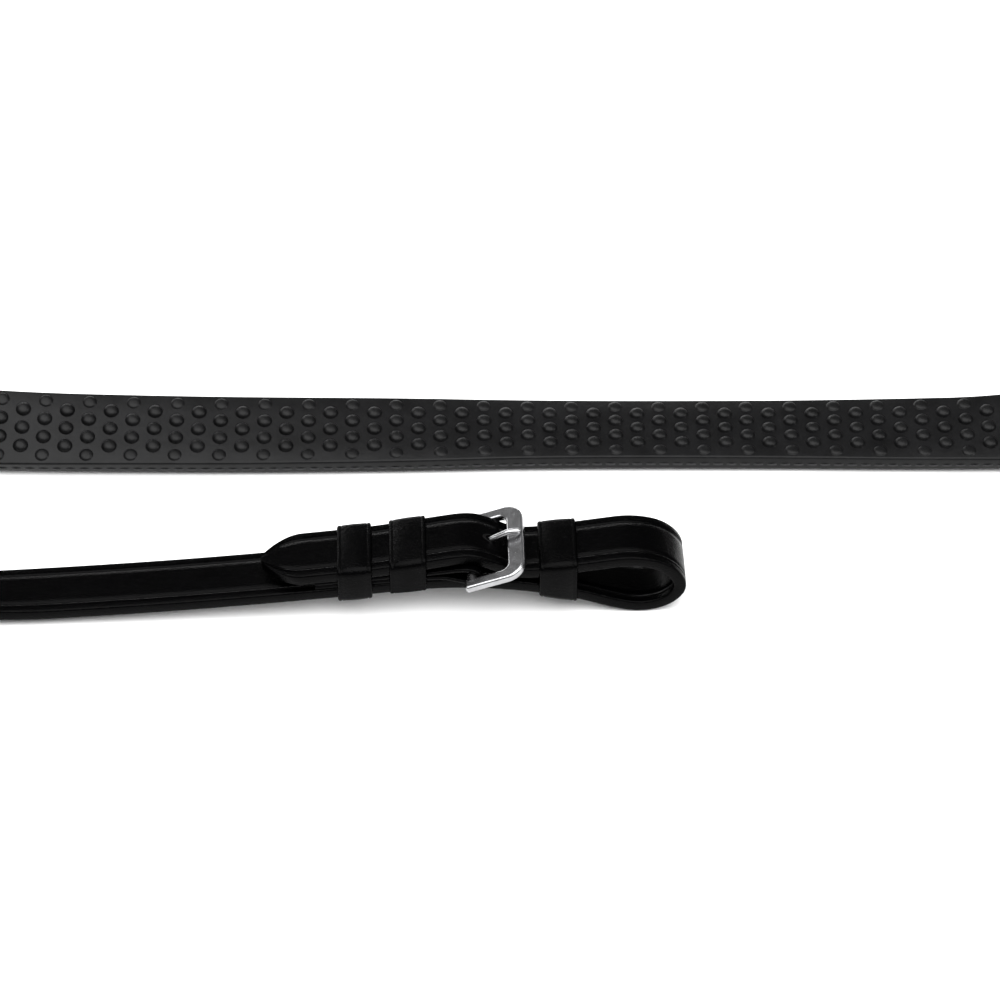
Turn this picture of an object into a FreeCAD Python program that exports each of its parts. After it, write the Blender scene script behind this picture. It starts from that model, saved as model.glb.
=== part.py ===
import FreeCAD, Part
import math
import os

# A pair of leather reins, joined by a centre buckle, laid out on a flat surface.
# X runs along the rubber grip that crosses the middle, Y across it, and Z is up from the surface.
# Every length is in millimetres and every angle in degrees.

# Leather strap and rubber-covered grip
STRAP_WIDTH = 19.0
STRAP_THICK = 3.8
GRIP_WIDTH = 27.0
GRIP_THICK = 8.0
CORE_GAP = 0.05

# Buckles: a half frame that turns on a round hinge bar
BAR_RADIUS = 1.7
EYE_GAP = 0.1
FRAME_LENGTH = 17.5
FRAME_HALF_WIDTH = 15.5
FRAME_WINDOW_HALF = 11.6
FRAME_WINDOW_LENGTH = 12.1
FRAME_TAIL = 2.2
FRAME_THICK = 2.6
FRAME_PITCH = 20.0
FRAME_CORNER = 6.0
FRAME_SIDE_SHIFT = -1.5
TAIL_CORNER = 1.8
WINDOW_CORNER = 2.5
METAL_ROUNDING = 0.8
PRONG_RADIUS = 1.05
PRONG_RING_RADIUS = 2.9
PRONG_RING_HALF = 1.5
PRONG_ROUTE = [(2.2, 1.3), (6.0, 4.6), (12.0, 8.0), (14.6, 8.1)]
PRONG_BENDS = [14.0, 5.0]
SLOT_HALF = 1.9
HOLE_HALF = 1.6

# Bit end, in its own frame: x towards the bit loop, z away from the surface
BAR_PLACE = (-9.0, 19.4)
BIT_MAIN = [(-112.0, 6.1), (-76.0, 8.9), (-40.0, 12.5), (-19.0, 14.8), (4.0, 13.2), (24.0, 8.6)]
BIT_MAIN_BENDS = [300.0, 300.0, 200.0, 60.0, 60.0, 20.0]
BIT_LOOP = [(39.0, 1.95), (56.4, 1.95), (56.4, 22.6), (24.0, 19.8)]
BIT_LOOP_BENDS = [20.0, 9.5, 9.5, 20.0]
BIT_BILLET = [(5.5, 18.0), (-8.5, 25.1), (-40.0, 19.7), (-74.6, 16.0)]
BIT_BILLET_BENDS = [14.0, 8.0, 60.0]
TIP_LENGTH = 12.0
TIP_END_WIDTH = 5.0
CHAPE_THICK = 2.9
CHAPE_ROUTE = [(-58.0, 14.2), (-40.0, 16.0), (-19.0, 18.35), (-10.5, 19.3)]
CHAPE_BENDS = [200.0, 100.0]
CHAPE_EYE_RADIUS = 3.2
KEEPER_THICK = 1.2
KEEPER_GAP = 0.35
LEAD_START_A = (-165.0, 3.4)
LEAD_START_B = (-85.0, 8.2)

# Centre buckle, in its own frame: x from rein A to rein B, z outwards, hinge bar at the origin
CENTRE_EYE_RADIUS = 3.65
CENTRE_LEG_MIDDLE = 1.75
TURNBACK_LENGTH = 46.0
CENTRE_BILLET = [(-50.0, 5.65), (3.5, 5.65), (14.0, -1.8), (34.0, CENTRE_LEG_MIDDLE)]
CENTRE_BILLET_BENDS = [8.0, 8.0, 40.0]
CENTRE_KEEPER = (-33.0, -22.0)
SEWN_GAP = 0.25

# Layout on the surface
BIT_END_YAW = 1.9
GRIP_LINE = 66.8
HARDWARE_LIFT = 15.9
BASE_MIDDLE = (74.53, -13.38)
LEFT_ROUTE = [(-164.9, -5.5), (-243.0, -8.5), (-300.0, -30.0), (-362.0, -4.0), (-372.0, 55.5),
              (-322.0, 96.0), (-262.0, 71.3), (-176.0, GRIP_LINE)]
PLAIN_RUNS = 3
TWIST_LENGTH = 48.0
SPAN_ENDS = (-176.0, 170.0)
TWIST_OUT_END = 228.0
TWIST_STEPS = 6
BEND_SHARE = 0.45

# Racetrack coil of the rest of the pair, standing on its edge
COIL_LEFT = 272.0
COIL_RIGHT = 427.0
COIL_MIDDLE = -23.2
COIL_TOPS = (90.0, 80.5, 71.0)
COIL_BOTTOMS = (-88.8, -76.0, -45.0)
COIL_SKIN = 4.8
CENTRE_BUCKLE_X = 360.0

X = FreeCAD.Vector(1, 0, 0)
Y = FreeCAD.Vector(0, 1, 0)
Z = FreeCAD.Vector(0, 0, 1)


def side(point):
    """A point of a side profile, in the XZ plane."""
    return FreeCAD.Vector(point[0], 0, point[1])


def plan(point):
    """A point of a route seen from above, in the XY plane."""
    return FreeCAD.Vector(point[0], point[1], 0)


def turn_at(before, corner, after):
    return (corner - before).getAngle(after - corner)


def widest_bends(route):
    """The radius of each arc of a route: as large as its two runs allow."""
    bends = []
    for before, corner, after in zip(route, route[1:], route[2:]):
        shorter = min((corner - before).Length, (after - corner).Length)
        bends.append(BEND_SHARE * shorter / math.tan(turn_at(before, corner, after) / 2))
    return bends


def bend(before, corner, after, radius):
    """The start, end, middle and centre of the arc that rounds a corner."""
    way_in = (corner - before).normalize()
    way_out = (after - corner).normalize()
    half_turn = turn_at(before, corner, after) / 2
    reach = radius * math.tan(half_turn)
    inwards = (way_out - way_in).normalize()
    centre = corner + inwards * (radius / math.cos(half_turn))
    return corner - way_in * reach, corner + way_out * reach, centre - inwards * radius, centre


def offset_edges(route, bends, normal, shift):
    """The edges of a rounded route, moved sideways by shift in the plane of the normal."""
    edges = []
    here = None
    across = None
    for number, radius in enumerate(bends, 1):
        before, corner, after = route[number - 1:number + 2]
        start, end, middle, centre = bend(before, corner, after, radius)
        across = normal.cross((corner - before).normalize())
        turns_left = (centre - corner).dot(across) > 0
        scale = (radius - shift) / radius if turns_left else (radius + shift) / radius
        points = [centre + (point - centre) * scale for point in (start, middle, end)]
        here = here or before + across * shift
        if (points[0] - here).Length > 1e-6:
            edges.append(Part.LineSegment(here, points[0]).toShape())
        edges.append(Part.Arc(*points).toShape())
        here = points[2]
    across = normal.cross((route[-1] - route[-2]).normalize())
    here = here or route[0] + across * shift
    edges.append(Part.LineSegment(here, route[-1] + across * shift).toShape())
    return edges


def ribbon(route, bends, thick, width, normal):
    """A strap that bends along a flat route, as wide as width along the normal, centred on the route."""
    left = offset_edges(route, bends, normal, thick / 2)
    right = offset_edges(route, bends, normal, -thick / 2)
    ends = [(left[0].Vertexes[0].Point, right[0].Vertexes[0].Point),
            (left[-1].Vertexes[-1].Point, right[-1].Vertexes[-1].Point)]
    caps = [Part.LineSegment(*end).toShape() for end in ends]
    outline = Part.Wire(Part.__sortEdges__(left + right + caps))
    solid = Part.Face(outline).extrude(normal * width)
    solid.translate(normal * (-width / 2))
    return solid


def block(x_ends, y_ends, z_ends):
    """A box between two values on each axis."""
    sizes = [ends[1] - ends[0] for ends in (x_ends, y_ends, z_ends)]
    return Part.makeBox(*sizes, FreeCAD.Vector(x_ends[0], y_ends[0], z_ends[0]))


def rod(radius, half_length):
    """A round bar along Y, centred on the origin."""
    return Part.makeCylinder(radius, 2 * half_length, Y * -half_length, Y)


def twist(start, end, widths, thick, lifts, turns):
    """A straight strap that rolls over between two angles while its lower edge stays on the surface."""
    along = (end - start).normalize()
    left = Z.cross(along)
    sections = []
    for step in range(TWIST_STEPS + 1):
        share = step / TWIST_STEPS
        angle = math.radians(turns[0] + (turns[1] - turns[0]) * share)
        width = widths[0] + (widths[1] - widths[0]) * share
        out = Z * math.cos(angle) + left * math.sin(angle)
        across = left * math.cos(angle) - Z * math.sin(angle)
        lift = lifts[0] + (lifts[1] - lifts[0]) * share
        height = width / 2 * abs(math.sin(angle)) + thick / 2 * math.cos(angle) + lift
        middle = start + (end - start) * share + Z * height
        corners = [middle + across * (width / 2 * a) + out * (thick / 2 * b)
                   for a, b in ((1, 1), (-1, 1), (-1, -1), (1, -1))]
        sections.append(Part.makePolygon(corners + corners[:1]))
    return Part.makeLoft(sections, True, True)


def placed(shape, origin, x_way, z_way):
    """A copy of a shape, moved from its own frame to its place on the surface."""
    y_way = z_way.cross(x_way)
    matrix = FreeCAD.Matrix(x_way.x, y_way.x, z_way.x, origin.x,
                            x_way.y, y_way.y, z_way.y, origin.y,
                            x_way.z, y_way.z, z_way.z, origin.z, 0, 0, 0, 1)
    moved = shape.copy()
    moved.Placement = FreeCAD.Placement(matrix).multiply(moved.Placement)
    return moved


def rounded(solid, radius, wanted):
    """A solid with the edges that wanted picks rounded."""
    return solid.makeFillet(radius, [edge for edge in solid.Edges if wanted(edge)])


def is_upright(edge, x_place):
    """Whether an edge runs along Z at this x."""
    ends = [vertex.Point for vertex in edge.Vertexes]
    return all(abs(point.x - x_place) < 0.01 for point in ends) and abs(ends[0].y - ends[-1].y) < 0.01


def buckle_frame():
    """A half frame lying along +X, with its hinge bar on the Y axis."""
    plate = block((-FRAME_TAIL, FRAME_LENGTH), (-FRAME_HALF_WIDTH, FRAME_HALF_WIDTH),
                  (-FRAME_THICK / 2, FRAME_THICK / 2))
    plate = rounded(plate, FRAME_CORNER, lambda edge: is_upright(edge, FRAME_LENGTH))
    window = block((-2 * FRAME_TAIL, FRAME_WINDOW_LENGTH), (-FRAME_WINDOW_HALF, FRAME_WINDOW_HALF),
                   (-FRAME_THICK, FRAME_THICK))
    window = rounded(window, WINDOW_CORNER, lambda edge: is_upright(edge, FRAME_WINDOW_LENGTH))
    plate = plate.cut(window)
    plate = rounded(plate, TAIL_CORNER / 2, lambda edge: is_upright(edge, -FRAME_TAIL))
    plate = plate.makeFillet(METAL_ROUNDING, [edge for edge in plate.Edges
                                              if abs(abs(edge.CenterOfMass.z) - FRAME_THICK / 2) < 0.01])
    bar = rod(BAR_RADIUS, FRAME_WINDOW_HALF + FRAME_THICK / 2)
    frame = plate.fuse(bar)
    frame.rotate(FreeCAD.Vector(), Y, -FRAME_PITCH)
    return frame


def buckle_prong():
    """A bent round prong that turns on the hinge bar and rests on the frame's far bar."""
    route = [side(point) for point in PRONG_ROUTE]
    edges = offset_edges(route, PRONG_BENDS, Y, 0)
    spine = Part.Wire(edges)
    along = (route[1] - route[0]).normalize()
    section = Part.Wire(Part.makeCircle(PRONG_RADIUS, route[0], along))
    stem = spine.makePipeShell([section], True, True)
    tip = Part.makeSphere(PRONG_RADIUS, route[-1])
    ring = rod(PRONG_RING_RADIUS, PRONG_RING_HALF)
    bore = rod(BAR_RADIUS + EYE_GAP, 2 * PRONG_RING_HALF)
    return ring.fuse([stem, tip]).cut(bore)


def bit_strap(start):
    """The strap from where it lies free, round the bit loop and back as the pointed billet."""
    lead = [side(start)] + [side(point) for point in BIT_MAIN if point[0] > start[0]]
    route = lead + [side(point) for point in BIT_LOOP + BIT_BILLET]
    bends = BIT_MAIN_BENDS[-(len(lead) - 1):] + BIT_LOOP_BENDS + BIT_BILLET_BENDS
    strap = ribbon(route, bends, STRAP_THICK, STRAP_WIDTH, Y)
    tip_x, tip_z = BIT_BILLET[-1]
    for hand in (-1, 1):
        corner = [(tip_x - 1, TIP_END_WIDTH / 2), (tip_x, TIP_END_WIDTH / 2),
                  (tip_x + TIP_LENGTH, STRAP_WIDTH / 2 + 0.01), (tip_x - 1, STRAP_WIDTH)]
        points = [FreeCAD.Vector(x, hand * y, tip_z - STRAP_THICK / 2) for x, y in corner]
        wedge = Part.Face(Part.makePolygon(points + points[:1])).extrude(Z * 2 * STRAP_THICK)
        strap = strap.cut(wedge)
    bar_x, bar_z = BAR_PLACE
    hole = block((bar_x + 1.6, bar_x + 9.8), (-HOLE_HALF, HOLE_HALF), (bar_z - 1, bar_z + 9))
    return strap.cut(hole)


def eye(radius):
    """The rounded end of a leather fold about the hinge bar, open in the middle for the prong."""
    slot = rod(radius + 0.4, SLOT_HALF)
    return rod(radius, STRAP_WIDTH / 2), rod(BAR_RADIUS + EYE_GAP, STRAP_WIDTH), slot


def bit_chape():
    """The short leather fold that holds the buckle, sewn between the strap and the billet."""
    legs = ribbon([side(point) for point in CHAPE_ROUTE], CHAPE_BENDS, CHAPE_THICK, STRAP_WIDTH, Y)
    fold, bore, slot = eye(CHAPE_EYE_RADIUS)
    for shape in (fold, bore, slot):
        shape.translate(side(BAR_PLACE))
    return legs.fuse(fold).cut(bore).cut(slot)


def height_on(route, x_place):
    """The height of a straight-run route at an x between its ends."""
    ordered = sorted(route)
    for (x0, z0), (x1, z1) in zip(ordered, ordered[1:]):
        if x0 <= x_place <= x1:
            return z0 + (z1 - z0) * (x_place - x0) / (x1 - x0)
    raise ValueError(x_place)


def band(x_ends, lows, highs, gap):
    """A leather band about a stack of straps whose lower and upper faces slope."""
    inner_half = STRAP_WIDTH / 2 + gap
    shapes = []
    for grow in (0.0, KEEPER_THICK):
        reach = 1.0 if grow == 0 else 0.0
        slopes = [(ends[1] - ends[0]) / (x_ends[1] - x_ends[0]) for ends in (lows, highs)]
        corners = []
        for x_place, shift in ((x_ends[0] - reach, -reach), (x_ends[1] + reach, reach)):
            index = 0 if shift < 0 or x_place == x_ends[0] else 1
            low = lows[index] + slopes[0] * shift - gap - grow
            high = highs[index] + slopes[1] * shift + gap + grow
            corners.append((x_place, low, high))
        (xa, low_a, high_a), (xb, low_b, high_b) = corners
        outline = [side(point) for point in ((xa, low_a), (xb, low_b), (xb, high_b), (xa, high_a))]
        half = inner_half + grow
        prism = Part.Face(Part.makePolygon(outline + outline[:1])).extrude(Y * 2 * half)
        prism.translate(Y * -half)
        shapes.append(prism)
    return shapes[1].cut(shapes[0])


def bit_keeper(x_ends, gap):
    """A keeper band about the whole stack of the bit end."""
    upper = BIT_BILLET + BIT_LOOP[-1:]
    lows = [height_on(BIT_MAIN, x) - STRAP_THICK / 2 - 0.05 for x in x_ends]
    highs = [height_on(upper, x) + STRAP_THICK / 2 + 0.05 for x in x_ends]
    return band(x_ends, lows, highs, gap)


def fixed_keeper(x_ends):
    """A keeper that is sewn to the strap's edges: it crosses over the billet only."""
    keeper = bit_keeper(x_ends, SEWN_GAP)
    below = [height_on(BIT_MAIN, x) - STRAP_THICK / 2 - 0.1 for x in x_ends]
    (xa, xb), (za, zb) = x_ends, below
    outline = [side(point) for point in ((xa - 1, za - 9), (xb + 1, zb - 9), (xb + 1, zb), (xa - 1, za))]
    floor = Part.Face(Part.makePolygon(outline + outline[:1])).extrude(Y * 2 * STRAP_WIDTH)
    floor.translate(Y * -STRAP_WIDTH)
    return keeper.cut(floor)


def bit_end(start):
    """Every piece of one bit end, in its own frame."""
    frame = buckle_frame()
    prong = buckle_prong()
    frame.translate(Y * FRAME_SIDE_SHIFT)
    for shape in (frame, prong):
        shape.translate(side(BAR_PLACE))
    return {
        "bit_strap": bit_strap(start),
        "chape": bit_chape(),
        "buckle_frame": frame,
        "buckle_prong": prong,
        "runner_keeper": bit_keeper((-51.0, -40.2), KEEPER_GAP),
        "fixed_keeper": fixed_keeper((-34.7, -23.2)),
        "loop_keeper": bit_keeper((12.0, 23.9), SEWN_GAP),
    }


def centre_pieces():
    """The joint between the two reins: rein A carries the buckle and rein B ends in a billet."""
    right = -(COIL_RIGHT - CENTRE_BUCKLE_X)
    left = CENTRE_BUCKLE_X - COIL_LEFT
    half = STRAP_WIDTH / 2
    leg_low = CENTRE_LEG_MIDDLE - STRAP_THICK / 2
    leg_high = CENTRE_LEG_MIDDLE + STRAP_THICK / 2
    leg = block((right, 0), (-half, half), (leg_low, leg_high))
    turnback = block((-TURNBACK_LENGTH, 0), (-half, half), (-CENTRE_EYE_RADIUS, leg_low + 0.01))
    fold, bore, slot = eye(CENTRE_EYE_RADIUS)
    strap_end = leg.fuse([turnback, fold]).cut(bore).cut(slot)
    route = [side(point) for point in CENTRE_BILLET] + [side((left, CENTRE_LEG_MIDDLE + 0.01))]
    billet = ribbon(route, CENTRE_BILLET_BENDS, STRAP_THICK, STRAP_WIDTH, Y)
    billet = billet.cut(block((1.6, 9.8), (-HOLE_HALF, HOLE_HALF), (-1, 9)))
    low = -CENTRE_EYE_RADIUS - 0.05
    high = CENTRE_BILLET[0][1] + STRAP_THICK / 2 + 0.05
    keeper = band(CENTRE_KEEPER, (low, low), (high, high), SEWN_GAP)
    return {
        "strap_end": strap_end,
        "billet": billet,
        "buckle_frame": buckle_frame(),
        "buckle_prong": buckle_prong(),
        "keeper": keeper,
    }


def left_turn():
    """Rein A beyond the bit end: it rolls on to its edge, turns back and becomes the grip."""
    route = [plan(point) for point in LEFT_ROUTE]
    bends = widest_bends(route)
    print("left turn radii", [round(radius, 1) for radius in bends])
    first = (route[1] - route[0]).normalize()
    twist_end = route[0] + first * TWIST_LENGTH
    last = (route[-1] - route[-2]).normalize()
    grip_twist_start = route[-1] - last * TWIST_LENGTH
    change = (route[PLAIN_RUNS] + route[PLAIN_RUNS + 1]) * 0.5
    plain_route = [twist_end] + route[1:PLAIN_RUNS + 1] + [change]
    grip_route = [change] + route[PLAIN_RUNS + 1:-1] + [grip_twist_start]
    lead_lift = LEAD_START_A[1] - STRAP_THICK / 2
    plain = ribbon(plain_route, bends[:PLAIN_RUNS], STRAP_THICK, STRAP_WIDTH, Z)
    plain.translate(Z * STRAP_WIDTH / 2)
    grip = ribbon(grip_route, bends[PLAIN_RUNS:], GRIP_THICK, GRIP_WIDTH, Z)
    grip.translate(Z * GRIP_WIDTH / 2)
    return {
        "rein_a_lead_twist": twist(route[0], twist_end, (STRAP_WIDTH, STRAP_WIDTH), STRAP_THICK,
                                   (lead_lift, 0), (0, -90)),
        "rein_a_lead_turn": plain,
        "grip_a_turn": grip,
        "grip_a_twist_in": twist(grip_twist_start, route[-1], (GRIP_WIDTH, GRIP_WIDTH), GRIP_THICK,
                                 (0, 0), (-90, 0)),
    }


def grip_span():
    """The grip where it lies flat: a rubber sleeve sewn about the leather strap."""
    half = GRIP_WIDTH / 2
    y_ends = (GRIP_LINE - half, GRIP_LINE + half)
    sleeve = block(SPAN_ENDS, y_ends, (0, GRIP_THICK))
    core_half = STRAP_WIDTH / 2
    core_low = (GRIP_THICK - STRAP_THICK) / 2
    pocket_half = core_half + CORE_GAP
    pocket = block((SPAN_ENDS[0] - 1, SPAN_ENDS[1] + 1),
                   (GRIP_LINE - pocket_half, GRIP_LINE + pocket_half),
                   (core_low - CORE_GAP, core_low + STRAP_THICK + CORE_GAP))
    core = block(SPAN_ENDS, (GRIP_LINE - core_half, GRIP_LINE + core_half),
                 (core_low, core_low + STRAP_THICK))
    start = plan((SPAN_ENDS[1], GRIP_LINE))
    end = plan((TWIST_OUT_END, GRIP_LINE))
    return {
        "grip_a_sleeve": sleeve.cut(pocket),
        "grip_a_core": core,
        "grip_a_twist_out": twist(start, end, (GRIP_WIDTH, GRIP_WIDTH), GRIP_THICK, (0, 0), (0, -90)),
    }


def stadium(top, bottom, height):
    """An upright block with straight long sides and round ends, between two values of y."""
    radius = (top - bottom) / 2
    middle = (top + bottom) / 2
    shape = block((COIL_LEFT, COIL_RIGHT), (bottom, top), (0, height))
    for x_place in (COIL_LEFT, COIL_RIGHT):
        shape = shape.fuse(Part.makeCylinder(radius, height, FreeCAD.Vector(x_place, middle, 0)))
    return shape.removeSplitter()


def coil_pieces():
    """The rest of the pair: a coil standing on its edge, and the turn that leads rein B into its middle."""
    outer = stadium(COIL_MIDDLE + COIL_TOPS[0] + COIL_SKIN, COIL_MIDDLE + COIL_BOTTOMS[0] - COIL_SKIN,
                    GRIP_WIDTH)
    inner_top = COIL_MIDDLE + COIL_TOPS[2] - COIL_SKIN
    inner_bottom = COIL_MIDDLE + COIL_BOTTOMS[1] + COIL_SKIN
    hole = stadium(inner_top, inner_bottom, GRIP_WIDTH)
    room_top = COIL_MIDDLE + COIL_BOTTOMS[1] - COIL_SKIN
    room = block((COIL_LEFT, COIL_RIGHT), (room_top - 30, room_top), (-1, GRIP_WIDTH + 1))
    coil = outer.cut(hole).cut(room)
    top = COIL_MIDDLE + COIL_TOPS[2]
    bottom = COIL_MIDDLE + COIL_BOTTOMS[2]
    radius = (top - bottom) / 2
    centre = FreeCAD.Vector(COIL_RIGHT, (top + bottom) / 2, 0)
    outside = Part.makeCylinder(radius + STRAP_THICK / 2, STRAP_WIDTH, centre, Z, 180)
    inside = Part.makeCylinder(radius - STRAP_THICK / 2, STRAP_WIDTH, centre, Z, 180)
    turn = outside.cut(inside)
    turn.rotate(centre, Z, -90)
    turn.translate(Z * 3)
    clear = stadium(inner_top - SEWN_GAP, inner_bottom + SEWN_GAP, GRIP_WIDTH)
    run = block((TWIST_OUT_END, COIL_LEFT),
                (GRIP_LINE - GRIP_THICK / 2, GRIP_LINE + GRIP_THICK / 2), (0, GRIP_WIDTH))
    return {"coiled_straps": coil, "rein_b_inner_turn": turn.common(clear), "grip_a_run": run.cut(outer)}


def all_nodes():
    """Every piece in its place, by name."""
    nodes = {}
    yaw = math.radians(BIT_END_YAW)
    along_a = FreeCAD.Vector(math.cos(yaw), math.sin(yaw), 0)
    for name, shape in bit_end(LEAD_START_A).items():
        nodes["rein_a_" + name] = placed(shape, FreeCAD.Vector(), along_a, Z)
    strap_b = COIL_MIDDLE + COIL_BOTTOMS[2] + LEAD_START_B[1]
    origin_b = FreeCAD.Vector(COIL_RIGHT + LEAD_START_B[0], strap_b, HARDWARE_LIFT)
    for name, shape in bit_end(LEAD_START_B).items():
        nodes["rein_b_" + name] = placed(shape, origin_b, X * -1, Y * -1)
    centre_y = COIL_MIDDLE + COIL_BOTTOMS[0] + CENTRE_LEG_MIDDLE
    origin_c = FreeCAD.Vector(CENTRE_BUCKLE_X, centre_y, HARDWARE_LIFT)
    for name, shape in centre_pieces().items():
        nodes["centre_" + name] = placed(shape, origin_c, X * -1, Y * -1)
    nodes.update(left_turn())
    nodes.update(grip_span())
    nodes.update(coil_pieces())
    for shape in nodes.values():
        shape.translate(plan(BASE_MIDDLE) * -1)
    return nodes


def write_nodes():
    """One STEP file for each piece."""
    os.makedirs("parts", exist_ok=True)
    for name, shape in sorted(all_nodes().items()):
        solids = shape.Solids
        solid = solids[0] if len(solids) == 1 else Part.makeCompound(solids)
        box = shape.BoundBox
        print(f"{name:24s} solids {len(solids)} valid {shape.isValid()} volume {shape.Volume:9.0f}"
              f" x {box.XMin:7.1f} {box.XMax:7.1f} y {box.YMin:7.1f} {box.YMax:7.1f}"
              f" z {box.ZMin:6.2f} {box.ZMax:6.2f}")
        solid.exportStep(f"parts/{name}.step")


write_nodes()
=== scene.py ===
import math

import bmesh
import bpy
import numpy as np
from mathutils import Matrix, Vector


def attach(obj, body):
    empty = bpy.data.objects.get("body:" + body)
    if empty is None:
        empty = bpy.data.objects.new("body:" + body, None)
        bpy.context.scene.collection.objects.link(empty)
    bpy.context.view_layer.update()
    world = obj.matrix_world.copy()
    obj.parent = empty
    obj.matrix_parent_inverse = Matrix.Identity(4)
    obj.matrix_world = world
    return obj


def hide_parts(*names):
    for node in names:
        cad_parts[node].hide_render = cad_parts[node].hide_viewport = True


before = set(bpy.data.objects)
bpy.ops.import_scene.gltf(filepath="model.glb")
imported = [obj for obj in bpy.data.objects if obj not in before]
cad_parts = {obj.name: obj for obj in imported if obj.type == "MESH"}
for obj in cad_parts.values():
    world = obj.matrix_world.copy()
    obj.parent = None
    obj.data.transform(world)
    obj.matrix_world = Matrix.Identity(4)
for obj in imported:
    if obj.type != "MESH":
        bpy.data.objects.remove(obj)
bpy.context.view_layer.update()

MM = 0.001
ROOT = "straps"

# Straps and grips, in millimetres. A mesh strap is slightly larger than the solid it stands for.
STRAP_WIDTH = 19.0
STRAP_THICK = 3.8
LEATHER_WIDTH = 19.4
LEATHER_THICK = 4.0
GRIP_WIDTH = 27.0
RUBBER_THICK = 5.6

# Pimples of the grips, in millimetres. The rows next to the edges are smaller and lower.
PIMPLE_HEIGHT = 1.5
PIMPLE_RADIUS = 2.45
OUTER_HEIGHT = 0.7
OUTER_RADIUS = 2.25
PIMPLE_PITCH = 7.2
PIMPLE_ROW = 3.35
PIMPLE_SHIFT_A = -2.8

# The layout on the surface, in millimetres: the middle of the box, the grip that crosses it, and the coil,
# whose tops and bottoms are the straights of its turns from the outside in
BASE_MIDDLE = (74.53, -13.38)
BIT_END_YAW = 1.9
GRIP_LINE = 66.8
GRIP_MIDDLE = 4.1
COIL_LEFT = 272.0
COIL_RIGHT = 427.0
COIL_MIDDLE = -23.2
COIL_TOPS = (90.0, 80.5, 71.0)
COIL_BOTTOMS = (-88.8, -76.0, -45.0)
TOPS = [COIL_MIDDLE + value for value in COIL_TOPS]
BOTTOMS = [COIL_MIDDLE + value for value in COIL_BOTTOMS]
CENTRE_BUCKLE_X = 360.0
LEAD_START_B = (-85.0, 8.2)

# Heights of the middle of a strap or grip that stands on its edge, and of the standing hardware
EDGE_LIFT = STRAP_WIDTH / 2
GRIP_EDGE_LIFT = GRIP_WIDTH / 2
HARDWARE_LIFT = 15.9

# Where grips and straps meet: a place for rein A's left turn, and values of x in the coil
CHANGE_A = (-367.0, 25.75)
GRIP_A_END = 347.0
GRIP_B_START = 346.0
GRIP_B_END = 309.0

# A bit end in its own frame, (x, z): its strap from the main run round the loop to the billet's tip,
# the middle of the strap on top of its stack, and the middle of its hinge bar
BIT_LINE = [
    (-112.0, 6.1), (-76.0, 8.9), (-40.0, 12.5), (-19.0, 14.8), (4.0, 13.2), (24.0, 8.6), (35.0, 3.9),
    (44.0, 1.55), (52.6, 3.9), (57.4, 10.8), (51.8, 19.6), (41.5, 22.6), (31.0, 21.0), (20.0, 19.3),
    (10.0, 17.8), (3.0, 18.6), (-3.5, 22.7), (-9.5, 25.3), (-20.0, 23.5), (-40.0, 19.7), (-58.0, 17.8),
    (-74.6, 16.0)]
MAIN_LINE = BIT_LINE[:6]
UPPER_LINE = [(24.0, 19.8), (5.5, 18.0), (-8.5, 25.1), (-40.0, 19.7), (-74.6, 16.0)]
BIT_BAR = (-9.0, 19.4)

# Where each keeper of a bit end begins and ends, along x
RUNNER_ENDS = (-51.0, -40.2)
FIXED_ENDS = (-34.7, -23.2)
LOOP_ENDS = (12.0, 23.9)

# The chape, (x, z): its leg on the strap, its upper leg, its size about the bar, and the stretch of the
# strap that its stitches hold
CHAPE_LOWER_LEG = [(-58.0, 13.45), (-40.0, 15.25), (-19.0, 17.5), (-12.0, 16.95)]
CHAPE_UPPER_LEG = [(-12.0, 21.75), (-19.0, 19.3), (-40.0, 16.75), (-58.0, 14.95)]
CHAPE_RADIUS = 2.5
CHAPE_THICK = 1.35
CHAPE_STITCHES = (19.0, 62.0)

# The slot that the prong goes through: its middle, slope in degrees, and half sizes along and across
SLOT_MIDDLE = (-2.9, 22.2)
SLOT_SLOPE = -30.0
SLOT_HALF = (3.1, 1.5)

# The centre buckle's stack, in millimetres out of its bar: the folded leg, the billet over it, the room
# under the leg, and the fold itself
LEG_MIDDLE = 1.75
CENTRE_BILLET_MIDDLE = 5.65
CENTRE_FOLD_ROOM = 2.6
CENTRE_LOWER_LEG = [(-46.0, -1.55), (-30.0, -1.55), (-14.0, -1.7), (-3.0, -2.85)]
CENTRE_UPPER_LEG = [(-2.5, 2.85), (-6.0, 2.9)]
CENTRE_FOLD_RADIUS = 2.75
CENTRE_FOLD_THICK = 1.8
CENTRE_KEEPER_ENDS = (-33.0, -22.0)
CENTRE_STITCHES = (3.0, 40.0)

# Folds about a hinge bar: how much they widen at the bar, over what length, and the side shift that
# brings a fold to the middle of its frame
FOLD_SPREAD = 0.19
FOLD_REACH = 6.0
FOLD_SHIFT = -1.5
FOLD_SHIFT_START = 13.0
FOLD_SHIFT_LENGTH = 8.0

# Where a row of stitches runs, off the middle of its strap
STITCH_ROW = 7.2

# Creases pressed along a strap's edges: how far in from the edge, and how deep
CREASES = ((2.3, 0.28), (3.45, 0.16))
CREASE_HALF_TOP = 0.38
CREASE_HALF_BOTTOM = 0.14

# A keeper band: its thickness and the depth of the crease near each of its edges
KEEPER_THICK = 1.2
KEEPER_CREASE = 0.14

UP = Vector((0, 0, 1))
DOWN = Vector((0, 0, -1))


# ---------------------------------------------------------------- places

def layout(x, y, z):
    """A point of the layout, in millimetres, in the row frame in metres."""
    return Vector((x - BASE_MIDDLE[0], y - BASE_MIDDLE[1], z)) * MM


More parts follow.
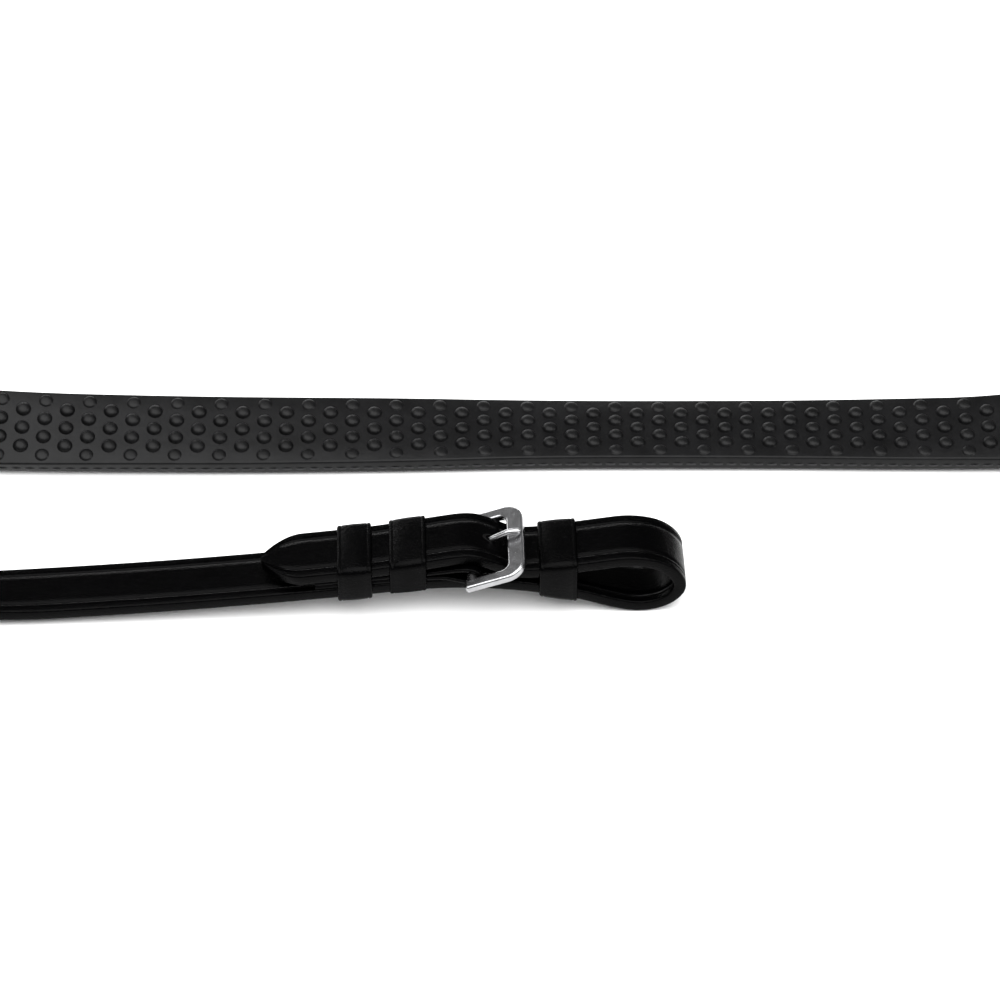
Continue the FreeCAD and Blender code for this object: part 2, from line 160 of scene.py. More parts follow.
class Place:
    """A local frame: x along the strap, y across it, z out of its face."""

    def __init__(self, origin, x_way, z_way):
        self.origin = Vector(origin)
        self.x_way = Vector(x_way)
        self.z_way = Vector(z_way)
        self.y_way = self.z_way.cross(self.x_way)

    def way(self, x, y, z):
        return self.x_way * x + self.y_way * y + self.z_way * z

    def point(self, x, y, z):
        return layout(*(self.origin + self.way(x, y, z)))


YAW = math.radians(BIT_END_YAW)
END_A = Place((0, 0, 0), (math.cos(YAW), math.sin(YAW), 0), UP)
END_B = Place((COIL_RIGHT + LEAD_START_B[0], COIL_MIDDLE + COIL_BOTTOMS[2] + LEAD_START_B[1], HARDWARE_LIFT),
              (-1, 0, 0), (0, -1, 0))
CENTRE = Place((CENTRE_BUCKLE_X, COIL_MIDDLE + COIL_BOTTOMS[0] + LEG_MIDDLE, HARDWARE_LIFT),
               (-1, 0, 0), (0, -1, 0))


# ---------------------------------------------------------------- camera, light and floor

CAMERA_AIM = layout(0.0, 41.4, 0.0)
CAMERA_ELEVATION = math.radians(45.0)
CAMERA_AWAY = 1.2
SENSOR = 36.0
LENS = 133.056
WORLD_STRENGTH = 0.26
# Each light has a name, a place, a size, a power in watts and a point that it is turned to
LIGHTS = [
    ("key", (-0.15, -0.3, 1.6), (2.8, 1.9), 86.0, (0.0, 0.02, 0.0)),
    ("fill", (1.3, -0.3, 0.7), (0.6, 0.6), 9.0, (0.1, 0.0, 0.0)),
    ("back", (-0.6, 1.4, 0.3), (1.8, 0.35), 10.0, (0.0, 0.0, 0.0))]
FLOOR_REACH = 6.0
FLOOR_DROP = 0.0002
FLOOR_GREY = 0.93


def make_camera():
    data = bpy.data.cameras.new("camera")
    data.sensor_width = SENSOR
    data.lens = LENS
    data.clip_start = 0.05
    data.clip_end = 20
    camera = bpy.data.objects.new("camera", data)
    bpy.context.scene.collection.objects.link(camera)
    back = Vector((0, -math.cos(CAMERA_ELEVATION), math.sin(CAMERA_ELEVATION)))
    camera.location = CAMERA_AIM + back * CAMERA_AWAY
    camera.rotation_euler = (math.pi / 2 - CAMERA_ELEVATION, 0, 0)
    bpy.context.scene.camera = camera


def area_light(name, place, size, power, aim):
    data = bpy.data.lights.new(name, "AREA")
    data.shape = "RECTANGLE"
    data.size, data.size_y = size
    data.energy = power
    lamp = bpy.data.objects.new(name, data)
    bpy.context.scene.collection.objects.link(lamp)
    lamp.location = place
    lamp.rotation_euler = (Vector(aim) - Vector(place)).to_track_quat("-Z", "Y").to_euler()


def make_studio():
    world = bpy.data.worlds.new("studio")
    bpy.context.scene.world = world
    world.use_nodes = True
    background = world.node_tree.nodes["Background"]
    background.inputs["Color"].default_value = (1.0, 1.0, 1.0, 1.0)
    background.inputs["Strength"].default_value = WORLD_STRENGTH
    bpy.context.scene.view_settings.view_transform = "Standard"
    for light in LIGHTS:
        area_light(*light)
    mesh = bpy.data.meshes.new("floor")
    corners = [(-FLOOR_REACH, -FLOOR_REACH), (FLOOR_REACH, -FLOOR_REACH), (FLOOR_REACH, FLOOR_REACH),
               (-FLOOR_REACH, FLOOR_REACH)]
    mesh.from_pydata([(x, y, -FLOOR_DROP) for x, y in corners], [], [(0, 1, 2, 3)])
    floor = bpy.data.objects.new("floor", mesh)
    bpy.context.scene.collection.objects.link(floor)
    material = bpy.data.materials.new("floor")
    material.use_nodes = True
    shader = material.node_tree.nodes["Principled BSDF"]
    shader.inputs["Base Color"].default_value = (FLOOR_GREY, FLOOR_GREY, FLOOR_GREY, 1)
    shader.inputs["Roughness"].default_value = 0.9
    shader.inputs["Specular IOR Level"].default_value = 0.1
    mesh.materials.append(material)


# ---------------------------------------------------------------- materials

class Nodes:
    """Short calls for building a procedural material."""

    def __init__(self, name):
        self.material = bpy.data.materials.new(name)
        self.material.use_nodes = True
        self.tree = self.material.node_tree
        self.shader = self.tree.nodes["Principled BSDF"]
        self.place = self.new("ShaderNodeTexCoord").outputs["Object"]

    def new(self, kind, **values):
        node = self.tree.nodes.new(kind)
        for key, value in values.items():
            if hasattr(node, key):
                setattr(node, key, value)
            else:
                node.inputs[key].default_value = value
        return node

    def link(self, source, target):
        self.tree.links.new(source, target)

    def noise(self, scale, detail=4.0, roughness=0.55):
        node = self.new("ShaderNodeTexNoise", Scale=scale, Detail=detail, Roughness=roughness)
        self.link(self.place, node.inputs["Vector"])
        return node.outputs["Fac"]

    def cells(self, scale):
        node = self.new("ShaderNodeTexVoronoi", Scale=scale)
        self.link(self.place, node.inputs["Vector"])
        return node.outputs["Distance"]

    def ramp(self, source, stops):
        node = self.new("ShaderNodeValToRGB")
        ramp = node.color_ramp
        while len(ramp.elements) < len(stops):
            ramp.elements.new(0.5)
        for element, (position, colour) in zip(ramp.elements, stops):
            element.position = position
            element.color = (*colour, 1)
        self.link(source, node.inputs["Fac"])
        return node.outputs["Color"]

    def spread(self, source, low, high):
        node = self.new("ShaderNodeMapRange")
        node.inputs["To Min"].default_value = low
        node.inputs["To Max"].default_value = high
        self.link(source, node.inputs["Value"])
        return node.outputs["Result"]

    def bump(self, source, distance, strength, before=None):
        node = self.new("ShaderNodeBump", Strength=strength, Distance=distance)
        self.link(source, node.inputs["Height"])
        if before:
            self.link(before, node.inputs["Normal"])
        return node.outputs["Normal"]

    def finish(self, colour, roughness, normal):
        self.link(colour, self.shader.inputs["Base Color"])
        self.link(roughness, self.shader.inputs["Roughness"])
        self.link(normal, self.shader.inputs["Normal"])
        return self.material


def leather(name, dark, light, low_gloss, high_gloss):
    """Smooth black bridle leather: pores, soft wrinkles and a waxed shine."""
    n = Nodes(name)
    colour = n.ramp(n.noise(70.0, 6.0), [(0.3, dark), (0.7, light)])
    roughness = n.spread(n.noise(220.0, 5.0, 0.7), low_gloss, high_gloss)
    grain = n.bump(n.cells(1900.0), 0.00012, 0.55)
    pores = n.bump(n.noise(3600.0, 3.0), 0.00008, 0.35, grain)
    folds = n.bump(n.noise(160.0, 3.0), 0.0005, 0.3, pores)
    n.shader.inputs["Specular IOR Level"].default_value = 0.03
    return n.finish(colour, roughness, folds)


def rubber():
    """Matte moulded rubber, its colour faintly mottled at random."""
    n = Nodes("black_rubber")
    colour = n.ramp(n.noise(90.0, 6.0, 0.65),
                    [(0.3, (0.0015, 0.0015, 0.0016)), (0.75, (0.005, 0.005, 0.0053))])
    roughness = n.spread(n.noise(350.0, 4.0, 0.7), 0.28, 0.42)
    skin = n.bump(n.noise(2600.0, 4.0, 0.7), 0.0001, 0.5)
    flow = n.bump(n.noise(240.0, 2.0), 0.0003, 0.25, skin)
    n.shader.inputs["Specular IOR Level"].default_value = 0.12
    return n.finish(colour, roughness, flow)


def steel():
    """Polished stainless steel with fine wear."""
    n = Nodes("steel")
    colour = n.ramp(n.noise(400.0, 5.0), [(0.25, (0.26, 0.26, 0.265)), (0.8, (0.40, 0.40, 0.41))])
    roughness = n.spread(n.noise(900.0, 6.0, 0.75), 0.14, 0.34)
    wear = n.bump(n.noise(1500.0, 5.0, 0.8), 0.00005, 0.25)
    soft = n.bump(n.noise(250.0, 2.0), 0.0002, 0.2, wear)
    n.shader.inputs["Metallic"].default_value = 1.0
    return n.finish(colour, roughness, soft)


def thread():
    n = Nodes("thread")
    colour = n.ramp(n.noise(1200.0), [(0.3, (0.002, 0.002, 0.0024)), (0.8, (0.007, 0.007, 0.0075))])
    roughness = n.spread(n.noise(1500.0), 0.55, 0.8)
    twist = n.bump(n.noise(5000.0, 2.0), 0.0001, 0.6)
    return n.finish(colour, roughness, twist)


# ---------------------------------------------------------------- meshes along a route

def spline_points(points):
    """The line of a NURBS spline of order 3 through a route's control points."""
    curve = bpy.data.curves.new("route", "CURVE")
    curve.dimensions = "3D"
    curve.resolution_u = 32
    spline = curve.splines.new("NURBS")
    spline.points.add(len(points) - 1)
    for knot, point in zip(spline.points, points):
        knot.co = (*point, 1)
    spline.order_u = 3
    spline.use_endpoint_u = True
    holder = bpy.data.objects.new("route", curve)
    mesh = bpy.data.meshes.new_from_object(holder)
    line = np.array([vertex.co for vertex in mesh.vertices], float)
    bpy.data.objects.remove(holder)
    bpy.data.curves.remove(curve)
    bpy.data.meshes.remove(mesh)
    return line


class Route:
    """A strap's line with the way across it at each point, evenly spaced."""

    def __init__(self, points, acrosses, step):
        line = spline_points(points)
        across = spline_points(acrosses)
        gaps = np.linalg.norm(np.diff(line, axis=0), axis=1)
        gone = np.concatenate([[0], np.cumsum(gaps)])
        self.length = float(gone[-1])
        count = max(8, round(self.length / step))
        self.gone = np.linspace(0, self.length, count + 1)
        self.line = np.stack([np.interp(self.gone, gone, line[:, k]) for k in range(3)], 1)
        across = np.stack([np.interp(self.gone, gone, across[:, k]) for k in range(3)], 1)
        self.along = np.gradient(self.line, axis=0)
        self.along /= np.linalg.norm(self.along, axis=1)[:, None]
        across -= self.along * (across * self.along).sum(1)[:, None]
        self.across = across / np.linalg.norm(across, axis=1)[:, None]
        self.out = np.cross(self.along, self.across)

    def at(self, gone):
        """The point, the ways along, across and out, at a length along the route."""
        found = []
        for values in (self.line, self.along, self.across, self.out):
            found.append(Vector([np.interp(gone, self.gone, values[:, k]) for k in range(3)]))
        return found


def strap_section(width, thick, crease, corner):
    """Half the outline of a strap's section, from one edge to the other over its upper face, in mm."""
    half, high = width / 2, thick / 2
    corner = min(corner, high * 0.9)
    side = [(half, 0.0), (half, high - corner)]
    side += [(half - corner * (1 - math.cos(a)), high - corner * (1 - math.sin(a)))
             for a in (math.pi / 8, math.pi / 4, 3 * math.pi / 8)]
    side.append((half - corner, high))
    if crease:
        for inset, depth in CREASES:
            middle = half - inset
            side += [(middle + CREASE_HALF_TOP, high), (middle + CREASE_HALF_BOTTOM, high - depth),
                     (middle - CREASE_HALF_BOTTOM, high - depth), (middle - CREASE_HALF_TOP, high)]
    side.append((half * 0.45, high + 0.05))
    side.append((0.0, high + 0.08))
    return side + [(-v, n) for v, n in reversed(side[:-1])]


def full_section(upper):
    """A closed outline from its upper half."""
    return upper[:-1] + [(v, -n) for v, n in reversed(upper[1:])]


def smooth(obj, angle=40):
    for polygon in obj.data.polygons:
        polygon.use_smooth = True
    obj.data.set_sharp_from_angle(angle=math.radians(angle))


def new_object(name, mesh, material, body=ROOT):
    obj = bpy.data.objects.new(name, mesh)
    bpy.context.scene.collection.objects.link(obj)
    mesh.materials.append(material)
    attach(obj, body)
    return obj


def tube(bm, route, section, widths=None):
    """A band with that section along a route, closed at both ends."""
    rings = []
    count = len(section)
    for gone, point, across, out in zip(route.gone, route.line, route.across, route.out):
        scale = widths(gone / MM) if widths else 1.0
        ring = []
        for v, n in section:
            co = point + across * (v * scale * MM) + out * (n * MM)
            ring.append(bm.verts.new(co))
        rings.append(ring)
    for near, far in zip(rings, rings[1:]):
        for i in range(count):
            j = (i + 1) % count
            bm.faces.new((near[i], near[j], far[j], far[i]))
    bm.faces.new(rings[0])
    bm.faces.new(list(reversed(rings[-1])))


def finish_mesh(bm, name):
    bmesh.ops.recalc_face_normals(bm, faces=bm.faces)
    mesh = bpy.data.meshes.new(name)
    bm.to_mesh(mesh)
    bm.free()
    return mesh


def pointed(length):
    """How a billet narrows to its point, over the last stretch of a strap."""
    tip = 13.0
    blunt = 0.10

    def share(gone):
        left = max(length / MM - gone, 0.0)
        if left >= tip:
            return 1.0
        return blunt + (1 - blunt) * math.sin(math.pi / 2 * (left / tip)) ** 0.8
    return share


def add_stitch(bm, middle, along, out, length, radius):
    """One stitch: a short fat thread that dips into the leather at both ends."""
    sides = 6
    across = along.cross(out)
    rings = []
    for share in (-1.0, -0.6, 0.0, 0.6, 1.0):
        rise = radius * 0.9 * (1 - share * share) - radius * 0.35
        centre = middle + along * (length / 2 * share) + out * rise
        ring = []
        for step in range(sides):
            angle = 2 * math.pi * step / sides
            reach = across * (radius * math.cos(angle)) + out * (radius * 0.8 * math.sin(angle))
            ring.append(bm.verts.new(centre + reach))
        rings.append(ring)
    for low, high in zip(rings, rings[1:]):
        for i in range(sides):
            j = (i + 1) % sides
            bm.faces.new((low[i], low[j], high[j], high[i]))
    bm.faces.new(rings[0])
    bm.faces.new(list(reversed(rings[-1])))


def stitch_rows(name, route, rows, start, end, pitch=3.6, radius=0.38):
    """Rows of stitches along a route: each row has a place across and out of the strap, in mm."""
    bm = bmesh.new()
    for v, n, sideways in rows:
        gone = start + pitch / 2
        while gone < end:
            point, along, across, out = route.at(gone * MM)
            facing = across * sideways if sideways else out * (1 if n > 0 else -1)
            middle = point + across * (v * MM) + out * (n * MM)
            add_stitch(bm, middle, along, facing, pitch * 0.72 * MM, radius * MM)
            gone += pitch
    obj = new_object(name, finish_mesh(bm, name), MAT["thread"])
    smooth(obj, 60)
    return obj


def strap(name, route, width=LEATHER_WIDTH, thick=LEATHER_THICK, crease=True, widths=None, corner=0.7):
    """A leather strap along a route."""
    bm = bmesh.new()
    tube(bm, route, full_section(strap_section(width, thick, crease, corner)), widths)
    obj = new_object(name, finish_mesh(bm, name), MAT["leather"])
    smooth(obj)
    return obj


# ---------------------------------------------------------------- bit ends

def bit_route(place, lead_points, lead_across, start_x):
    """The whole strap of a bit end, from where it meets its grip to the billet's tip."""
    ends = [place.point(x, 0, z) for x, z in BIT_LINE if x > start_x]
    across = place.way(0, 1, 0)
    return Route(lead_points + ends, lead_across + [across] * len(ends), 0.0011)


def keeper(name, place, x_ends, lows, highs, gap, body, closed=True):
    """A leather band about the stack, with rounded edges and a crease near each; or one open underneath."""
    bm = bmesh.new()
    x0, x1 = x_ends
    thick = KEEPER_THICK
    dip = thick - KEEPER_CREASE
    profile = [(0.0, 0.0), (0.0, thick * 0.55), (0.25, thick * 0.88), (0.6, thick), (1.0, thick), (1.2, dip),
               (1.4, dip), (1.6, thick)]
    wide = x1 - x0
    outline = profile + [(wide / 2, thick + 0.12)] + [(wide - u, n) for u, n in reversed(profile)]
    half = LEATHER_WIDTH / 2 + gap
    rings = []
    steps = 7
    for u, n in outline:
        share = u / wide
        low = lows[0] + (lows[1] - lows[0]) * share - gap - n
        high = highs[0] + (highs[1] - highs[0]) * share + gap + n
        side = half + n
        radius = 1.3 + n * 0.9
        ring = []
        corners = [(side - radius, low + radius, -90), (side - radius, high - radius, 0),
                   (-side + radius, high - radius, 90), (-side + radius, low + radius, 180)]
        for y, z, start in corners:
            for step in range(steps):
                angle = math.radians(start + 90 * step / (steps - 1))
                ring.append((y + radius * math.cos(angle), z + radius * math.sin(angle)))
        if not closed:
            ring = [(y, max(z, low + n + 0.3)) for y, z in ring]
            ring = ring[steps - 1:-(steps - 1)]
        rings.append([bm.verts.new(place.point(x0 + u, y, z)) for y, z in ring])
    count = len(rings[0])
    wraps = count if closed else count - 1
    for near, far in zip(rings, rings[1:] + rings[:1]):
        for i in range(wraps):
            j = (i + 1) % count
            bm.faces.new((near[i], near[j], far[j], far[i]))
    if not closed:
        bm.faces.new([ring[0] for ring in rings])
        bm.faces.new([ring[-1] for ring in reversed(rings)])
    obj = new_object(name, finish_mesh(bm, name), MAT["keeper"], body)
    smooth(obj, 35)
    return obj


def line_height(points, x_place):
    """The height of a line of (x, z) points at a value of x."""
    ordered = sorted(points)
    for (x0, z0), (x1, z1) in zip(ordered, ordered[1:]):
        if x0 <= x_place <= x1:
            return z0 + (z1 - z0) * (x_place - x0) / (x1 - x0)
    raise ValueError(x_place)


def bit_keeper(name, place, x_ends, gap, body, closed=True):
    """A keeper about the whole stack of a bit end."""
    lows = [line_height(MAIN_LINE, x) - STRAP_THICK / 2 for x in x_ends]
    highs = [line_height(UPPER_LINE, x) + STRAP_THICK / 2 for x in x_ends]
    return keeper(name, place, x_ends, lows, highs, gap, body, closed)


def around_bar(middle, radius, start, end, steps=7):
    """Points of a fold about the hinge bar, between two angles."""
    points = []
    for step in range(steps):
        angle = math.radians(start + (end - start) * step / (steps - 1))
        points.append((middle[0] + radius * math.cos(angle), middle[1] + radius * math.sin(angle)))
    return points


def point_share(route, place, middle):
    """How far along a fold the strip turns round its bar, in millimetres."""
    turn_reach = 4.0
    target = place.point(middle[0] + turn_reach, 0, middle[1])
    gaps = [(Vector(point) - target).length for point in route.line]
    return float(route.gone[gaps.index(min(gaps))]) / MM


def fold(name, place, below, middle, radius, above, thick, side_shift=0.0):
    """A leather strip that comes up to the hinge bar, goes round it and comes back."""
    line = below + around_bar(middle, radius / math.cos(math.radians(15)), -75, 75, 6) + above
    points = []
    for x, z in line:
        share = min(max((x - middle[0] + FOLD_SHIFT_START) / FOLD_SHIFT_LENGTH, 0.0), 1.0)
        points.append(place.point(x, side_shift * share, z))
    route = Route(points, [place.way(0, 1, 0)] * len(points), 0.0012)
    turn = point_share(route, place, middle)

    def spread(gone):
        """The fold widens towards the frame's arms where it holds the bar."""
        return 1.0 + FOLD_SPREAD * math.exp(-((gone - turn) / FOLD_REACH) ** 2)
    obj = strap(name, route, STRAP_WIDTH - 0.4, thick, False, spread, corner=0.5)
    return obj, route


def make_bit_end(tag, place, route):
    """The leather pieces of one bit end."""
    name = f"rein_{tag}"
    piece = strap(f"{name}_strap", route, widths=pointed(route.length))
    chape, _ = fold(f"{name}_chape_fold", place, CHAPE_LOWER_LEG, BIT_BAR, CHAPE_RADIUS, CHAPE_UPPER_LEG,
                    CHAPE_THICK, FOLD_SHIFT)
    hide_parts(f"{name}_chape")
    runner = bit_keeper(f"{name}_runner", place, RUNNER_ENDS, 0.25, f"runner_{tag}")
    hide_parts(f"{name}_runner_keeper")
    fixed = bit_keeper(f"{name}_keeper", place, FIXED_ENDS, 0.15, ROOT, closed=False)
    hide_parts(f"{name}_fixed_keeper")
    loop = bit_keeper(f"{name}_loop_band", place, LOOP_ENDS, 0.15, ROOT)
    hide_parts(f"{name}_loop_keeper")
    # the stitches that hold the chape, on the strap's under face
    points = [place.point(x, 0, z) for x, z in MAIN_LINE[1:]]
    under = Route(points, [place.way(0, 1, 0)] * len(points), 0.003)
    rows = [(v, -STRAP_THICK / 2, 0) for v in (-STITCH_ROW, STITCH_ROW)]
    stitches = stitch_rows(f"{name}_chape_stitches", under, rows, *CHAPE_STITCHES)
    make_prong_hole(name, place)
    return piece


def make_prong_hole(name, place):
    """The slot in the billet that the prong goes through: a punched rim set into its upper face, closed by a
    dull near-black dish that is painted shade standing in for the open hole.
    """
    slot_x, slot_z = SLOT_MIDDLE
    long, wide = SLOT_HALF
    slope = math.radians(SLOT_SLOPE)
    sides = 20
    along = place.way(math.cos(slope), 0, math.sin(slope))
    out = place.way(-math.sin(slope), 0, math.cos(slope))
    across = place.way(0, 1, 0)
    middle = place.point(slot_x, 0, slot_z) + out * (STRAP_THICK / 2 * MM)
    bm = bmesh.new()
    rings = []
    for grow, high in ((1.35, -0.25), (1.25, 0.16), (1.0, 0.14), (0.86, -0.2)):
        ring = []
        for step in range(sides):
            angle = 2 * math.pi * step / sides
            co = middle + along * (long * grow * math.cos(angle) * MM)
            co = co + across * (wide * grow * math.sin(angle) * MM) + out * (high * MM)
            ring.append(bm.verts.new(co))
        rings.append(ring)
    bottom = bm.verts.new(middle + out * (-0.2 * MM))
    for low, high in zip(rings, rings[1:]):
        for i in range(sides):
            j = (i + 1) % sides
            bm.faces.new((low[i], low[j], high[j], high[i]))
    for i in range(sides):
        bm.faces.new((rings[-1][i], rings[-1][(i + 1) % sides], bottom))
    # The rim and its dish take the slot's material, which is partly painted shade for the open hole.
    obj = new_object(f"{name}_prong_hole", finish_mesh(bm, "prong_hole"), MAT["hole"])
    smooth(obj, 40)


# ---------------------------------------------------------------- rubber grips

def add_pimple(bm, foot, across, along, out, radius, height):
    """A domed rubber pimple that rises from a soft foot."""
    rings = []
    sides = 14
    for share, high in ((1.12, -0.12), (1.0, 0.1), (0.93, 0.42), (0.78, 0.72), (0.5, 0.94), (0.22, 1.0)):
        ring = []
        for step in range(sides):
            angle = 2 * math.pi * step / sides
            reach = across * (radius * share * math.cos(angle)) + along * (radius * share * math.sin(angle))
            ring.append(bm.verts.new(foot + reach + out * (height * high)))
        rings.append(ring)
    for low, high in zip(rings, rings[1:]):
        for i in range(sides):
            j = (i + 1) % sides
            bm.faces.new((low[i], low[j], high[j], high[i]))
    bm.faces.new(rings[-1])


def grip(name, points, acrosses, shift=0.0):
    """A rubber sleeve sewn about the strap, with staggered pimples on both faces."""
    route = Route(points, acrosses, 0.003)
    bm = bmesh.new()
    upper = strap_section(GRIP_WIDTH, RUBBER_THICK, crease=False, corner=0.8)
    tube(bm, route, full_section(upper))
    length = route.length / MM
    plain_ends = 12.0
    columns = int((length - plain_ends) / PIMPLE_PITCH)
    start = (length - (columns - 1) * PIMPLE_PITCH) / 2 + shift
    for column in range(columns):
        point, along, across, out = route.at((start + column * PIMPLE_PITCH) * MM)
        rows = (-3, -1, 1, 3) if column % 2 else (-2, 0, 2)
        for row in rows:
            wide, high = (OUTER_RADIUS, OUTER_HEIGHT) if abs(row) == 3 else (PIMPLE_RADIUS, PIMPLE_HEIGHT)
            for face in (1, -1):
                foot = point + across * (row * PIMPLE_ROW * MM) + out * (face * RUBBER_THICK / 2 * MM)
                add_pimple(bm, foot, across, along * face, out * face, wide * MM, high * MM)
    obj = new_object(name, finish_mesh(bm, name), MAT["rubber"])
    smooth(obj, 50)
    side = GRIP_WIDTH / 2
    rows = [(-side, -0.4, -1), (side, -0.4, 1)]
    stitches = stitch_rows(f"{name}_stitches", route, rows, 4.0, length - 4.0, pitch=4.4, radius=0.34)
    return obj, route


# ---------------------------------------------------------------- routes on the surface

def half_turn(x_place, first, second, clockwise_from):
    """Control points, (x, y), of a half turn of the coil between two of its straights."""
    radius = abs(first - second) / 2
    middle = (first + second) / 2
    reach = radius / math.cos(math.radians(15))
    points = []
    for step in range(6):
        angle = math.radians(clockwise_from - 15 - 30 * step)
        points.append((x_place + reach * math.cos(angle), middle + reach * math.sin(angle)))
    return points


def lifted(points, lift=GRIP_EDGE_LIFT):
    """Points of the layout, (x, y), with a height."""
    return [(x, y, lift) for x, y in points]


def make_rein_a_bit():
    """Rein A from its grip on the left to its bit end."""
    lead = [(*CHANGE_A, GRIP_EDGE_LIFT), (-362.0, -4.0, 11.0), (-300.0, -30.0, EDGE_LIFT),
            (-243.0, -8.5, EDGE_LIFT), (-213.0, -7.3, EDGE_LIFT), (-190.0, -6.4, 9.0)]
    points = [layout(*point) for point in lead] + [END_A.point(-165.0, 0, 3.4)]
    acrosses = [DOWN] * 5 + [Vector((0, 0.75, -0.66)), Vector((0, 1, 0))]
    route = bit_route(END_A, points, acrosses, -160.0)
    piece = make_bit_end("a", END_A, route)
    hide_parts("rein_a_bit_strap", "rein_a_lead_twist", "rein_a_lead_turn")


def make_grip_a():
    """Grip A: round the left turn, flat across the middle and on to the coil."""
    edge = GRIP_EDGE_LIFT
    flat = GRIP_MIDDLE
    # each place is x, y and z with the grip's roll in degrees
    places = [
        (*CHANGE_A, edge, 90.0), (-372.0, 55.5, edge, 90.0), (-322.0, 96.0, edge, 90.0),
        (-262.0, 70.6, edge, 90.0), (-226.0, 67.4, edge, 90.0), (-200.0, 65.4, 13.1, 50.0),
        (-175.0, 64.7, 9.6, 23.0), (-150.0, 64.9, 8.0, 17.0), (-120.0, 65.2, 7.1, 13.5),
        (-90.0, 65.3, 6.5, 11.5), (-60.0, 65.7, 6.1, 9.5), (-30.0, 66.4, 5.5, 7.0), (0.0, 67.5, 4.5, 2.0),
        (30.0, 67.9, flat, 0.0), (65.0, 67.9, flat, 0.0), (98.0, 67.8, 4.2, 1.0), (130.0, 67.2, 5.0, 4.0),
        (163.0, GRIP_LINE, 6.0, 6.5), (188.0, GRIP_LINE, 9.2, 22.0), (210.0, GRIP_LINE, 14.0, 66.0),
        (230.0, GRIP_LINE, edge, 90.0), (272.0, TOPS[0], edge, 90.0), (GRIP_A_END, TOPS[0], edge, 90.0)]
    points = [layout(x, y, z) for x, y, z, _ in places]
    rolls = [math.radians(roll) for _, _, _, roll in places]
    acrosses = [Vector((0, math.cos(roll), math.sin(roll))) for roll in rolls]
    piece, route = grip("grip_a", points, acrosses, PIMPLE_SHIFT_A)
    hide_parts("grip_a_turn", "grip_a_twist_in", "grip_a_sleeve", "grip_a_core", "grip_a_twist_out",
                "grip_a_run")


def make_rein_a_hand():
    """Rein A from its grip round the coil to the centre buckle."""
    line = lifted([(GRIP_A_END, TOPS[0]), (400.0, TOPS[0])])
    line += lifted(half_turn(COIL_RIGHT, TOPS[0], BOTTOMS[0], 90))
    line += lifted([(418.0, BOTTOMS[0]), (390.0, BOTTOMS[0]), (CENTRE_BUCKLE_X + 1.0, BOTTOMS[0])],
                   HARDWARE_LIFT)
    route = Route([layout(*point) for point in line], [UP] * len(line), 0.002)
    piece = strap("rein_a_hand_strap", route)
    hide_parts("centre_strap_end")


def make_rein_b_hand():
    """Rein B from grip B back to its billet, through the centre buckle."""
    billet = [(-50.0, CENTRE_BILLET_MIDDLE), (-30.0, 5.7), (-8.0, 5.9), (2.0, 5.5), (8.0, 1.8), (12.5, -1.2),
              (20.0, -0.6), (34.0, LEG_MIDDLE), (60.0, LEG_MIDDLE), (80.0, LEG_MIDDLE)]
    line = lifted(half_turn(COIL_LEFT, BOTTOMS[0], TOPS[1], 270))
    line += lifted([(COIL_LEFT + 20.0, TOPS[1]), (GRIP_B_START, TOPS[1])])
    points = [CENTRE.point(x, 0, z) for x, z in billet] + [layout(*point) for point in line]
    points.reverse()
    route = Route(points, [DOWN] * len(points), 0.002)
    piece = strap("rein_b_hand_strap", route, widths=pointed(route.length))
    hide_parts("centre_billet")


def make_grip_b():
    """Grip B, once round the coil."""
    line = [(GRIP_B_START, TOPS[1]), (405.0, TOPS[1])]
    line += half_turn(COIL_RIGHT, TOPS[1], BOTTOMS[1], 90)
    line += [(405.0, BOTTOMS[1]), (294.0, BOTTOMS[1])]
    line += half_turn(COIL_LEFT, BOTTOMS[1], TOPS[2], 270)
    line += [(292.0, TOPS[2]), (GRIP_B_END, TOPS[2])]
    piece, route = grip("grip_b", [layout(*point) for point in lifted(line)], [UP] * len(line))
    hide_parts("coiled_straps")


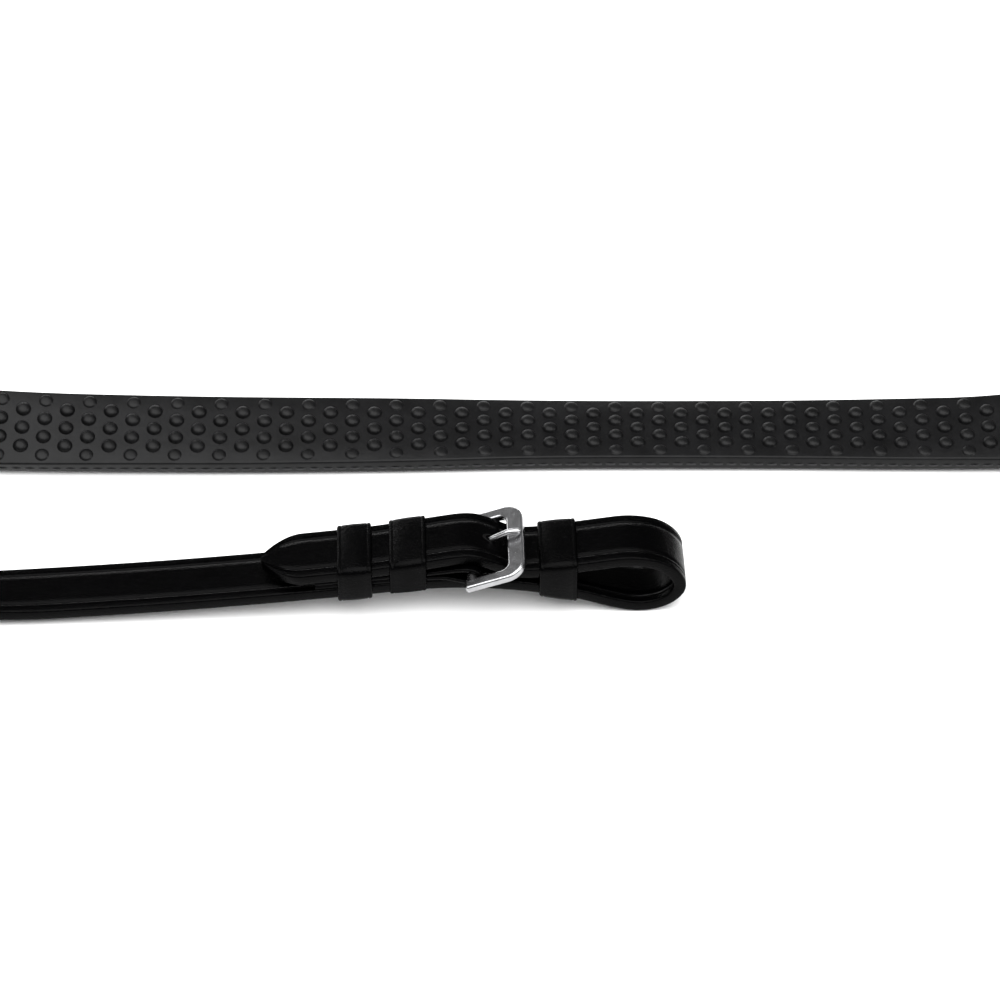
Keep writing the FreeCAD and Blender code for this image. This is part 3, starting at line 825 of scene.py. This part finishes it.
def make_rein_b_bit():
    """Rein B from its grip into the middle of the coil, to its bit end."""
    rise = 0.3
    line = lifted([(GRIP_B_END, TOPS[2]), (400.0, TOPS[2])])
    turn = half_turn(COIL_RIGHT, TOPS[2], BOTTOMS[2], 90)
    line += [(x, y, GRIP_EDGE_LIFT + rise * step) for step, (x, y) in enumerate(turn, 1)]
    points = [layout(*point) for point in line] + [END_B.point(-84.0, 0, LEAD_START_B[1])]
    route = bit_route(END_B, points, [DOWN] * len(points), -80.0)
    piece = make_bit_end("b", END_B, route)
    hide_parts("rein_b_bit_strap", "rein_b_inner_turn")


def make_centre():
    """The folded end of rein A at the centre buckle, and its keeper."""
    bar = (0.0, 0.0)
    piece, route = fold("centre_fold", CENTRE, CENTRE_LOWER_LEG, bar, CENTRE_FOLD_RADIUS, CENTRE_UPPER_LEG,
                        CENTRE_FOLD_THICK)
    low = LEG_MIDDLE - STRAP_THICK / 2 - CENTRE_FOLD_ROOM
    high = CENTRE_BILLET_MIDDLE + STRAP_THICK / 2
    band = keeper("centre_band", CENTRE, CENTRE_KEEPER_ENDS, (low, low), (high, high), 0.2, ROOT)
    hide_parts("centre_keeper")
    rows = [(v, 0.95, 0) for v in (-STITCH_ROW, STITCH_ROW)]
    stitches = stitch_rows("centre_stitches", route, rows, *CENTRE_STITCHES)


def dress_metal():
    """Steel for the buckle frames and prongs, which keep their own shapes."""
    for name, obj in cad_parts.items():
        if name.endswith(("buckle_frame", "buckle_prong")):
            if not obj.material_slots:
                obj.data.materials.append(MAT["steel"])
            for slot in obj.material_slots:
                slot.material = MAT["steel"]


MAT = {
    "leather": leather("black_leather", (0.0001, 0.0001, 0.00015), (0.0003, 0.0003, 0.0004), 0.18, 0.3),
    "keeper": leather("keeper_leather", (0.0002, 0.0002, 0.00025), (0.0005, 0.0005, 0.0006), 0.2, 0.32),
    # The slot's material is partly painted shade: a dull near-black sheet where the open slot shows only
    # shade, on a real punched rim.
    "hole": leather("punched_rim_and_painted_shade", (0.003, 0.003, 0.003), (0.006, 0.006, 0.006), 0.6, 0.8),
    "rubber": rubber(),
    "steel": steel(),
    "thread": thread(),
}

make_camera()
make_studio()
make_rein_a_bit()
make_grip_a()
make_rein_a_hand()
make_rein_b_hand()
make_grip_b()
make_rein_b_bit()
make_centre()
dress_metal()
